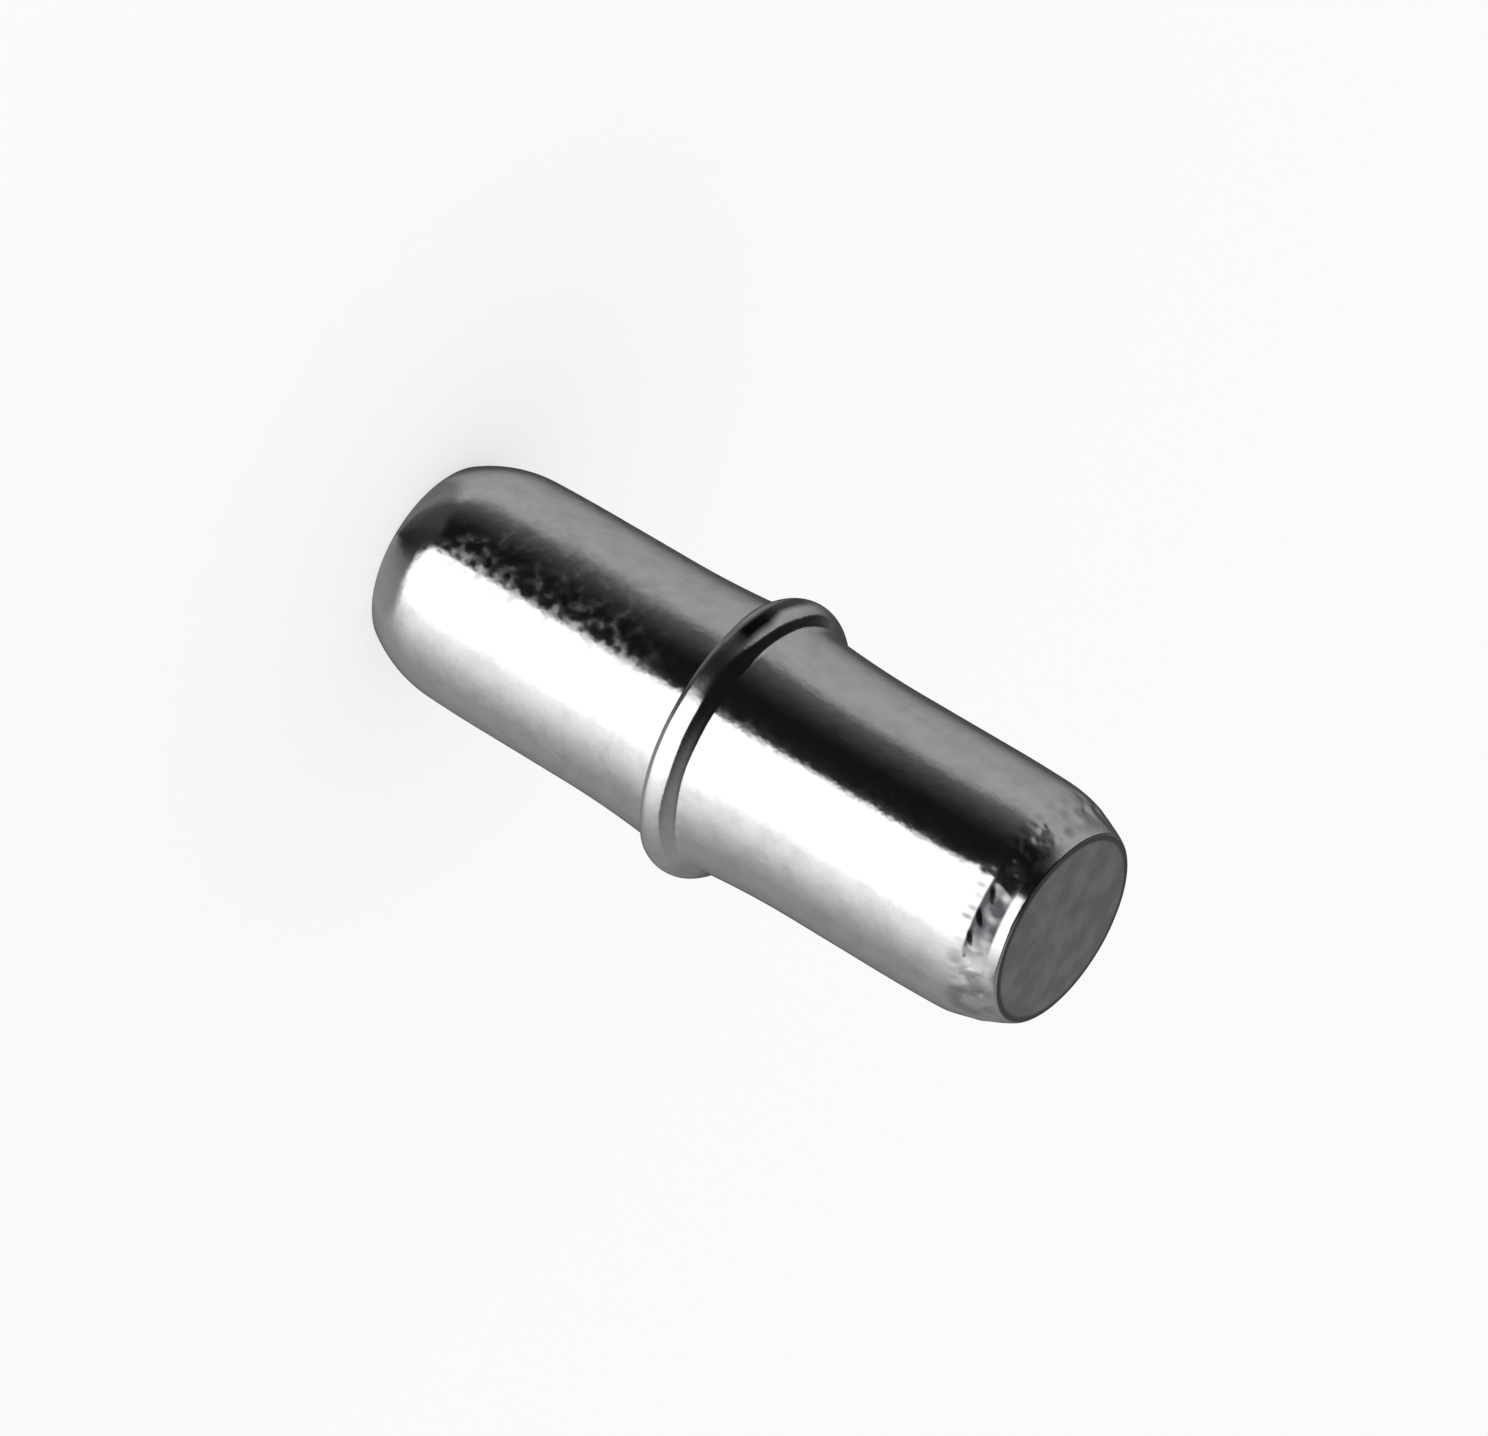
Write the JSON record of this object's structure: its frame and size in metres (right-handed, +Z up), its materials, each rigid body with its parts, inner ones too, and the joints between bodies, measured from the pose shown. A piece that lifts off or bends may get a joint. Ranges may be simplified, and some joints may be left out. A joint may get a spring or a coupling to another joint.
{
  "type": "shelf support pin",
  "caption": "Plated steel shelf support pin: a round peg with a half-round bead collar at its middle and rounded, flat-ended noses.",
  "frame": {"origin": "centre of the lower end face, which the pin stands on", "axes": "+Z up along the pin's axis, from the smooth end to the end with the dented band; X and Y are any two directions across it"},
  "size_m": [0.006, 0.006, 0.0156],
  "materials": {
    "plated_steel": "bright plated steel, barrel-plated over a cold-headed blank"
  },
  "bodies": {
    "root": {"shelf_support_pin": "plated_steel"}
  },
  "joints": []
}
